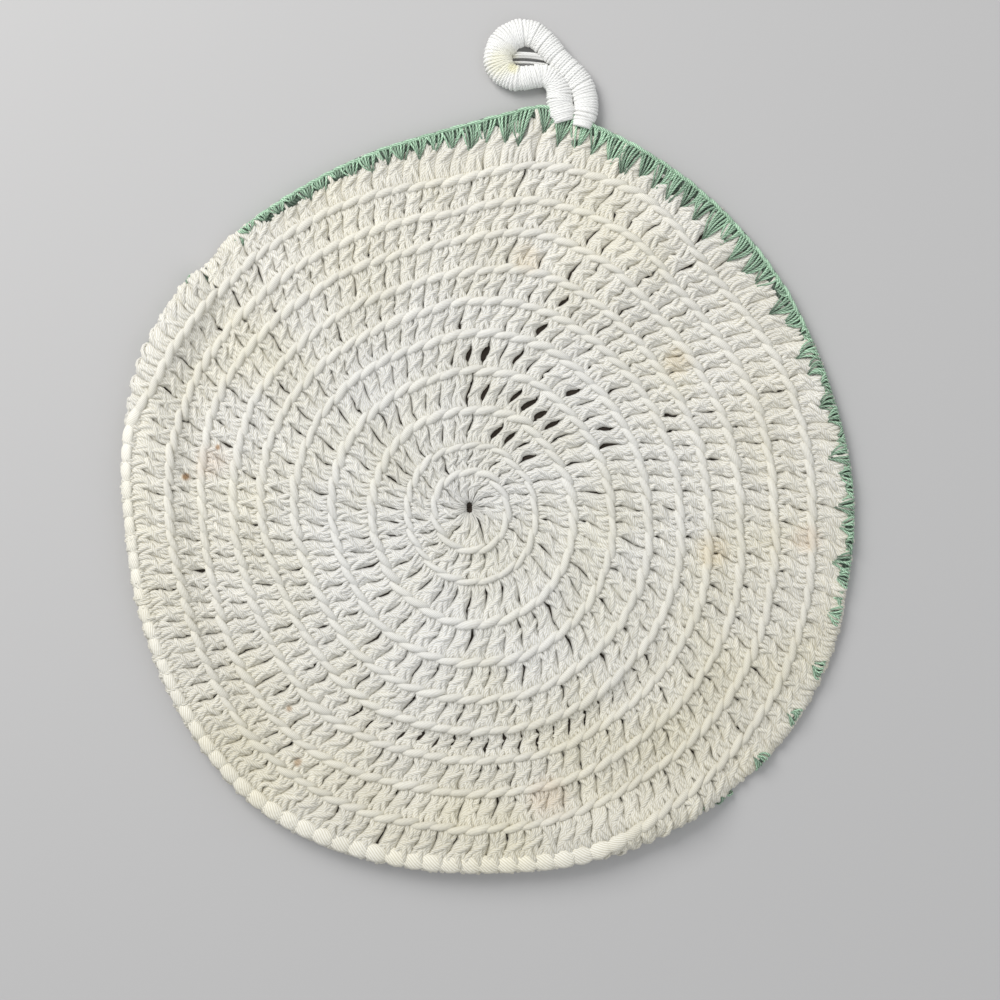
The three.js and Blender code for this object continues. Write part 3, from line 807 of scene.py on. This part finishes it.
def lay_rings(yarns):
    """The closed strands of the edging: tubes of near-black painted shade beside the chain, and what the Vs
    go round.
    """
    degrees = np.arange(CORE_COLUMNS)[None] * 360 / CORE_COLUMNS
    size = np.ones_like(degrees)
    hides = green_hides(degrees)
    for inwards, high, wide in CHAIN_SHADE_BEDS:
        along = cloth_length(degrees) - inwards - HIDDEN_IN * hides
        at, up = place(degrees, along, high - chain_sinks(degrees))
        yarns.add(at, up, wide * size, CHAIN_SHADE_BED_HALF_THICK * size, closed=True, tint=np.array([PAINTED_SHADE_TINT]))
    at, up = place(degrees, cloth_length(degrees) - INLAY_IN - HIDDEN_IN * hides, 0 * size)
    yarns.add(at, up, INLAY_WIDE * size, INLAY_THICK - INLAY_THINNER * hides, INLAY_SIDES, closed=True)


def green_edging(material):
    """The V stitches over the rim, the chain along it and the strands inside them."""
    yarns = Yarns()
    lay_vs(yarns)
    lay_chain(yarns)
    lay_rings(yarns)
    return yarns.mesh("edging_yarn", material)


def cord_line(steps):
    """The cord's middle line with its width, evenly spaced, and its length."""
    fine = smooth_line(CORD_ROUTE, CORD_FINE_POINTS)
    run = np.concatenate([[0], np.cumsum(np.hypot(*np.diff(fine[:, :2], axis=0).T))])
    at = np.linspace(0, run[-1], steps)
    return np.stack([np.interp(at, run, fine[:, i]) for i in range(3)], -1), run[-1]


def wind_thread(yarns, middle, ahead, half_wide, half_thick, turns):
    """Adds the thread that is wound closely, but not evenly, round the cord."""
    steps = np.arange(len(middle))
    side = np.stack([-ahead[:, 1], ahead[:, 0], 0 * ahead[:, 0]], -1)
    turn = 2 * np.pi * steps / THREAD_POINTS
    strays = np.interp(steps, np.arange(turns + 2) * THREAD_POINTS, chance.normal(0, 1, turns + 2))
    up = side * np.cos(turn)[:, None]
    up[:, 2] = np.sin(turn)
    out = (half_wide + THREAD_STRAYS * strays) * np.cos(turn)
    thread = middle + side * out[:, None] + ahead * (THREAD_STRAYS_ALONG * strays)[:, None]
    thread[:, 2] += (half_thick + THREAD_STRAYS_UP * strays) * np.sin(turn)
    wide = THREAD_WIDE / 2 * (THREAD_FULL + THREAD_SWELLS * np.sin(turn / THREAD_SWELL_TURNS))
    yarns.add(thread[None], up[None], wide[None], wide[None] * THREAD_FLAT, tint=np.array([THREAD_TINT]))


def hanging_loop(material):
    """The cord of the loop with its wound thread, and the loose strands across its eye."""
    yarns = Yarns()
    _, length = cord_line(2)
    turns = int(length / THREAD_WIDE)
    line, _ = cord_line(turns * THREAD_POINTS + 1)
    middle = np.concatenate([line[:, :2], np.full((len(line), 1), CORD_THICK / 2)], 1)
    ahead = np.gradient(middle, axis=0)
    ahead /= np.linalg.norm(ahead, axis=1, keepdims=True)
    run = np.linspace(0, length, len(line))
    past_foot = smooth_step(np.minimum(run, length - run) / FOOT_LONG)
    middle[:, 2] += FOOT_CLIMB * (1 - past_foot)
    half_wide = line[:, 2] / 2 - THREAD_IN
    half_thick = (CORD_THICK / 2 - THREAD_DOWN) * (FOOT_THIN + (1 - FOOT_THIN) * past_foot)
    wind_thread(yarns, middle, ahead, half_wide, half_thick, turns)

    inside = middle[None, ::INSIDE_SKIPS]
    wide = half_wide[None, ::INSIDE_SKIPS] + INSIDE_MORE
    thick = half_thick[None, ::INSIDE_SKIPS] + INSIDE_MORE
    yarns.add(inside, np.broadcast_to([0, 0, 1.0], inside.shape), wide, thick, INSIDE_SIDES)
    for rows in EYE_STRANDS:
        strand = smooth_line(rows, EYE_STRAND_POINTS)[None]
        size = np.full((1, EYE_STRAND_POINTS), EYE_STRAND_HALF)
        yarns.add(strand, np.broadcast_to([0, 0, 1.0], strand.shape), size, size)
    return yarns.mesh("loop_thread", material)


def painted_shade_core(material):
    """The thin inner layer of painted shade, with its top face, its rim and its underside in one closed skin.
    """
    degrees = np.arange(CORE_COLUMNS) * 360 / CORE_COLUMNS
    length = cloth_length(degrees)
    shares = np.linspace(0, 1, CORE_RINGS)
    rows = []
    for high, order in ((CORE_TOP, shares), (CORE_TOP - CORE_THICK, shares[::-1])):
        for share in order:
            along = CORE_HOLE + (length - CORE_SHORT - CORE_HOLE) * share
            rows.append(place(degrees, along, np.full_like(along, high))[0])
    points = np.concatenate(rows)
    ring = np.arange(CORE_COLUMNS)
    faces = []
    for i in range(len(rows)):
        here = i * CORE_COLUMNS
        there = ((i + 1) % len(rows)) * CORE_COLUMNS
        after = np.roll(ring, -1)
        faces.append(np.stack([here + ring, there + ring, there + after, here + after], -1))
    return make_mesh("painted_shade_core", points, np.concatenate(faces), material)


class Shading:
    """One material, to which nodes are added."""

    def __init__(self, name):
        self.material = bpy.data.materials.new(name)
        self.material.use_nodes = True
        self.tree = self.material.node_tree
        self.shader = self.tree.nodes["Principled BSDF"]

    def fill(self, node, inputs):
        """Gives each input its constant, or links an output to it."""
        for name, value in inputs.items():
            if isinstance(value, bpy.types.NodeSocket):
                self.tree.links.new(value, node.inputs[name])
            else:
                node.inputs[name].default_value = value

    def add(self, kind, inputs=None, **settings):
        """Adds a node and returns its outputs."""
        node = self.tree.nodes.new("ShaderNode" + kind)
        for name, value in settings.items():
            setattr(node, name, value)
        self.fill(node, inputs or {})
        return node.outputs

    def math(self, operation, *values):
        return self.add("Math", dict(enumerate(values)), operation=operation)[0]

    def vector_math(self, operation, *values):
        return self.add("VectorMath", dict(enumerate(values)), operation=operation)

    def noise(self, where, scale, detail=2):
        return self.add("TexNoise", {"Vector": where, "Scale": scale, "Detail": detail})["Fac"]

    def ramp(self, value, low, high, most=1, curve="LINEAR"):
        """0 where the value is low, and most where it is high."""
        inputs = {"Value": value, "From Min": low, "From Max": high, "To Max": most}
        return self.add("MapRange", inputs, interpolation_type=curve)["Result"]

    def mix(self, share, first, second, how="MIX"):
        """The first colour, with a share of the second one."""
        inputs = {"Factor": share, "A": first, "B": second}
        return self.add("Mix", inputs, data_type="RGBA", blend_type=how)["Result"]

    def bump(self, height, inputs):
        """Raises the surface by this height."""
        raised = self.add("Bump", {"Height": height, **inputs})["Normal"]
        self.fill(self.shader, {"Normal": raised})


def add_stain(shading, where, colour, stain):
    """Tints the colour around one place, with a ragged border, and returns the tinted colour."""
    x, y, reach, stained, strength = stain
    ragged = shading.noise(where, STAIN_GRAIN / (reach * METRES))
    flat = shading.vector_math("MULTIPLY", where, (1, 1, 0))["Vector"]
    away = shading.vector_math("DISTANCE", flat, (x * METRES, y * METRES, 0))["Value"]
    torn = shading.math("MULTIPLY_ADD", ragged, reach * METRES, away)
    low = STAIN_ENDS * reach * METRES
    high = STAIN_FULL * reach * METRES
    near = shading.ramp(torn, low, high, strength, "SMOOTHSTEP")
    return shading.mix(near, colour, (*stained, 1), "MULTIPLY")


def add_clouds(shading, where, colour):
    """Slow changes of colour over the cloth, cooler in the middle, creamier towards the rim, with painted
    shade below.
    """
    outward = shading.ramp(shading.vector_math("LENGTH", where)["Value"], TONE_FROM, TONE_TO)
    tone = shading.mix(outward, (*MIDDLE_TONE, 1), (*RIM_TONE, 1))
    clouds = shading.noise(where, CLOUD_SCALE, CLOUD_DETAIL)
    patchy = shading.ramp(clouds, CLOUD_FROM, CLOUD_TO, CLOUD_MOST)
    tone = shading.mix(patchy, tone, (*CLOUD_TONE, 1), "MULTIPLY")
    across = shading.add("SeparateXYZ", {0: where})
    below = shading.ramp(across["Y"], LOWER_FROM, LOWER_TO, 1, "SMOOTHSTEP")
    lower = shading.math("MULTIPLY", below, outward)
    # Painted shade: darker in the lower, outer part of the cloth.
    tone = shading.mix(lower, tone, (*LOWER_PAINTED_SHADE, 1), "MULTIPLY")
    return shading.mix(1, colour, tone, "MULTIPLY")


def ply_wave(shading, plies):
    """0 in the grooves between plies and 1 on their crests. The plies turn round the strand as it runs."""
    across = shading.add("SeparateXYZ", {0: shading.add("UVMap", uv_map="yarn")["UV"]})
    around = shading.math("MULTIPLY", across["Y"], plies)
    twisted = shading.math("MULTIPLY_ADD", across["X"], PLY_TWIST, around)
    wave = shading.math("SINE", shading.math("MULTIPLY", twisted, 2 * np.pi))
    return shading.ramp(wave, PLY_GROOVE, PLY_CREST)


def yarn_material(name, tones, roughness, sheen, plies=5, cloudy=False, stains=()):
    """Plied yarn: fine lines along the strand, each a little darker in its groove, where the deep tone is
    painted shade.
    """
    pale, groove_shade = tones
    shading = Shading(name)
    shading.fill(shading.shader, {
        "Roughness": roughness,
        "Sheen Weight": sheen,
        "Sheen Roughness": SHEEN_ROUGH,
        "Specular IOR Level": SPECULAR,
    })
    where = shading.add("TexCoord")["Object"]
    ply = ply_wave(shading, plies)
    # The deep tone in the grooves between plies is painted shade.
    shade = shading.mix(ply, (*groove_shade, 1), (*pale, 1))
    tint = shading.add("Attribute", attribute_name="tint")["Fac"]
    levels = {"Value": tint, "To Min": TINT_DARK, "To Max": TINT_LIGHT}
    level = shading.add("MapRange", levels, clamp=False)["Result"]
    colour = shading.add("HueSaturation", {"Color": shade, "Value": level})["Color"]
    if cloudy:
        colour = add_clouds(shading, where, colour)
    for stain in stains:
        colour = add_stain(shading, where, colour, stain)
    shading.fill(shading.shader, {"Base Color": colour})

    lumps = shading.noise(where, LUMP_SCALE, LUMP_DETAIL)
    fibres = shading.noise(where, FIBRE_SCALE, FIBRE_DETAIL)
    uneven = shading.math("MULTIPLY_ADD", lumps, LUMPY, ply)
    relief = shading.math("MULTIPLY_ADD", fibres, FIBRE_HIGH, uneven)
    shading.bump(relief, {"Strength": BUMP_STRENGTH, "Distance": BUMP_DEEP})
    return shading.material


def painted_shade_material():
    """Painted shade: a near-black, matte inside of the cloth, seen in the slots between stitches."""
    shading = Shading("painted_shade_inner")
    shading.fill(shading.shader, {"Roughness": 1.0, "Specular IOR Level": INNER_SPECULAR})
    noise = shading.noise(shading.add("TexCoord")["Object"], INNER_SCALE)
    shading.fill(shading.shader, {"Base Color": shading.mix(noise, *PAINTED_SHADE_TONES)})
    shading.bump(noise, {"Distance": INNER_DEEP})
    return shading.material


def make_camera():
    """Straight above the cloth. The middle of its view lies a little right of the disc's."""
    camera = bpy.data.objects.new("camera", bpy.data.cameras.new("camera"))
    camera.data.lens = LENS
    camera.data.sensor_width = SENSOR
    camera.location = (VIEW_X, VIEW_Y, VIEW_WIDE * LENS / SENSOR)
    bpy.context.scene.collection.objects.link(camera)
    bpy.context.scene.camera = camera


def make_light(name, at, size, power, colour):
    """A square lamp that looks at the middle of the cloth."""
    light = bpy.data.lights.new(name, "AREA")
    light.size = size
    light.energy = power
    light.color = colour
    lamp = bpy.data.objects.new(name, light)
    lamp.location = at
    direction = -lamp.location
    lamp.rotation_mode = "QUATERNION"
    lamp.rotation_quaternion = direction.to_track_quat("-Z", "Y")
    bpy.context.scene.collection.objects.link(lamp)


def make_studio():
    """The even sky, the lights and the pale floor."""
    world = bpy.data.worlds.new("studio")
    world.use_nodes = True
    sky = world.node_tree.nodes["Background"]
    sky.inputs["Color"].default_value = SKY_COLOUR
    sky.inputs["Strength"].default_value = SKY_STRENGTH
    bpy.context.scene.world = world
    bpy.context.scene.view_settings.view_transform = "Standard"
    for light in LIGHTS:
        make_light(*light)

    mesh = bpy.data.meshes.new("floor")
    corners = [(x * FLOOR_REACH, y * FLOOR_REACH, 0) for x, y in ((-1, -1), (1, -1), (1, 1), (-1, 1))]
    mesh.from_pydata(corners, [], [(0, 1, 2, 3)])
    floor = bpy.data.objects.new("floor", mesh)
    bpy.context.scene.collection.objects.link(floor)
    shading = Shading("pale_floor")
    shading.fill(shading.shader, {"Base Color": FLOOR_COLOUR, "Roughness": FLOOR_ROUGH})
    mesh.materials.append(shading.material)


make_camera()
cream = yarn_material("cream_yarn", CREAM, roughness=0.9, sheen=0.15, cloudy=True, stains=CREAM_STAINS)
green = yarn_material("green_yarn", GREEN, roughness=0.45, sheen=0.2, plies=3)
white = yarn_material("white_thread", WHITE, roughness=0.85, sheen=0.15, stains=LOOP_STAINS)

rounds = [crochet_round(number + 1, cream) for number in range(len(STITCHES))]
# The core is a near-black layer of painted shade, seen through the slots between stitches.
core = painted_shade_core(painted_shade_material())
for piece in [core, *rounds]:
    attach(piece, "root")
    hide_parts("crochet_disc")

edging = green_edging(green)
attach(edging, "root")
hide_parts("green_edging")

loop = hanging_loop(white)
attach(loop, "root")
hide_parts("hanging_loop")

make_studio()
